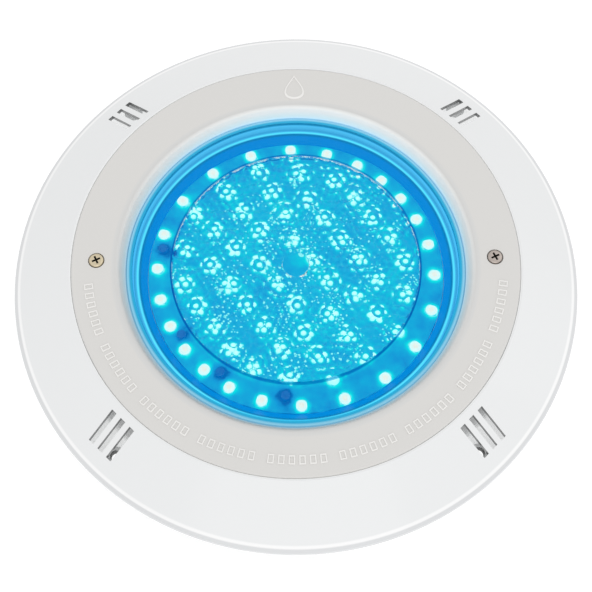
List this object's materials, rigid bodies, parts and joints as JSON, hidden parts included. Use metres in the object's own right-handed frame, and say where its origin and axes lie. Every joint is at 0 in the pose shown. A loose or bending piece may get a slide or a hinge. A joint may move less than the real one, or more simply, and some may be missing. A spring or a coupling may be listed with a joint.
{
  "type": "underwater pool light",
  "caption": "Round wall-mounted underwater LED pool light: vented face ring, bezel ring with two face screws, stippled lens over a lamp, sealed housing and wall niche.",
  "frame": {"origin": "centre of the pool wall's surface, between the four flange screws, in the plane of the niche flange's back face", "axes": "+Z out of the wall towards the water, +Y up the wall towards the conduit socket, +X to the right seen from the water"},
  "size_m": [0.29, 0.29, 0.1498],
  "materials": {
    "face_abs": "glossy white moulding",
    "bezel_abs": "satin light grey moulding",
    "niche_abs": "satin white moulding",
    "housing_abs": "satin white moulding",
    "black_rubber": "matte",
    "grey_silicone": "matte",
    "lens_glass": "clear with a pressed stipple",
    "reflector_blue": "lit from inside",
    "lamp_abs": "glossy",
    "board_mask": "solder mask, lit",
    "led_resin": "clear resin, lit",
    "stainless": "polished",
    "brass": "machined",
    "tinned_copper": "tinned",
    "circuit_green": "solder mask",
    "component_black": "moulded",
    "copper_wire": "enamelled",
    "wire_red": "extruded",
    "natural_nylon": "moulded",
    "gland_nylon": "moulded, fine texture"
  },
  "bodies": {
    "root": {"niche": "niche_abs", "lug_inserts": "brass", "conduit_adaptor": "niche_abs", "conduit_seal": "black_rubber"},
    "face": {"face_ring": "face_abs"},
    "light": {"bezel_ring": "bezel_abs", "bezel_screws": "stainless", "housing": "housing_abs", "housing_oring": "black_rubber", "lamp_gasket": "grey_silicone", "lamp_lens": "lens_glass", "reflector_ring": "reflector_blue", "lamp_shell": "lamp_abs", "led_board": "board_mask", "ring_leds": "led_resin", "centre_leds": "led_resin", "board_screws": "stainless", "driver_pillars": "brass", "driver_board": "circuit_green", "driver_capacitors": "component_black", "driver_coil": "copper_wire", "driver_rectifier": "component_black", "lamp_leads": "wire_red", "lamp_terminals": "brass", "terminal_nuts": "brass", "wire_lugs": "tinned_copper", "lead_wires": "wire_red", "connector_block": "natural_nylon", "connector_sleeves": "brass", "connector_screws": "stainless", "gland_body": "gland_nylon", "gland_washer": "black_rubber", "gland_locknut": "gland_nylon", "gland_seal": "black_rubber"},
    "left_washer": {"left_screw_washer": "natural_nylon"},
    "left_screw": {"left_face_screw": "stainless"},
    "right_washer": {"right_screw_washer": "natural_nylon"},
    "right_screw": {"right_face_screw": "stainless"},
    "gland_push": {"gland_ring": "natural_nylon"},
    "gland_cap": {"gland_nut": "gland_nylon"}
  },
  "joints": [
    {"name": "light_lift", "type": "slide", "parent": "root", "child": "light", "axis": [0, 0, 1], "range_m": [0, 0.15]},
    {"name": "face_ring_pull", "type": "slide", "parent": "root", "child": "face", "axis": [0, 0, 1], "range_m": [0, 0.03]},
    {"name": "left_screw_travel", "type": "slide", "parent": "light", "child": "left_washer", "axis": [0, 0, 1], "range_m": [0, 0.0104]},
    {"name": "left_screw_turn", "type": "hinge", "parent": "left_washer", "child": "left_screw", "pos_m": [-0.1004, 0, 0.01], "axis": [0, 0, 1], "range_deg": [0, 4680]},
    {"name": "right_screw_travel", "type": "slide", "parent": "light", "child": "right_washer", "axis": [0, 0, 1], "range_m": [0, 0.0104]},
    {"name": "right_screw_turn", "type": "hinge", "parent": "right_washer", "child": "right_screw", "pos_m": [0.1004, 0, 0.01], "axis": [0, 0, 1], "range_deg": [0, 4680]},
    {"name": "gland_nut_travel", "type": "slide", "parent": "light", "child": "gland_push", "axis": [0, -1, 0], "range_m": [0, 0.0105]},
    {"name": "gland_nut_turn", "type": "hinge", "parent": "gland_push", "child": "gland_cap", "pos_m": [0, -0.08, -0.076], "axis": [0, -1, 0], "range_deg": [0, 2520]}
  ],
  "couplings": [
    {"joint": "left_screw_turn", "follows": "left_screw_travel", "rad_per_m": 7854},
    {"joint": "right_screw_turn", "follows": "right_screw_travel", "rad_per_m": 7854},
    {"joint": "gland_nut_turn", "follows": "gland_nut_travel", "rad_per_m": 4188.8}
  ]
}
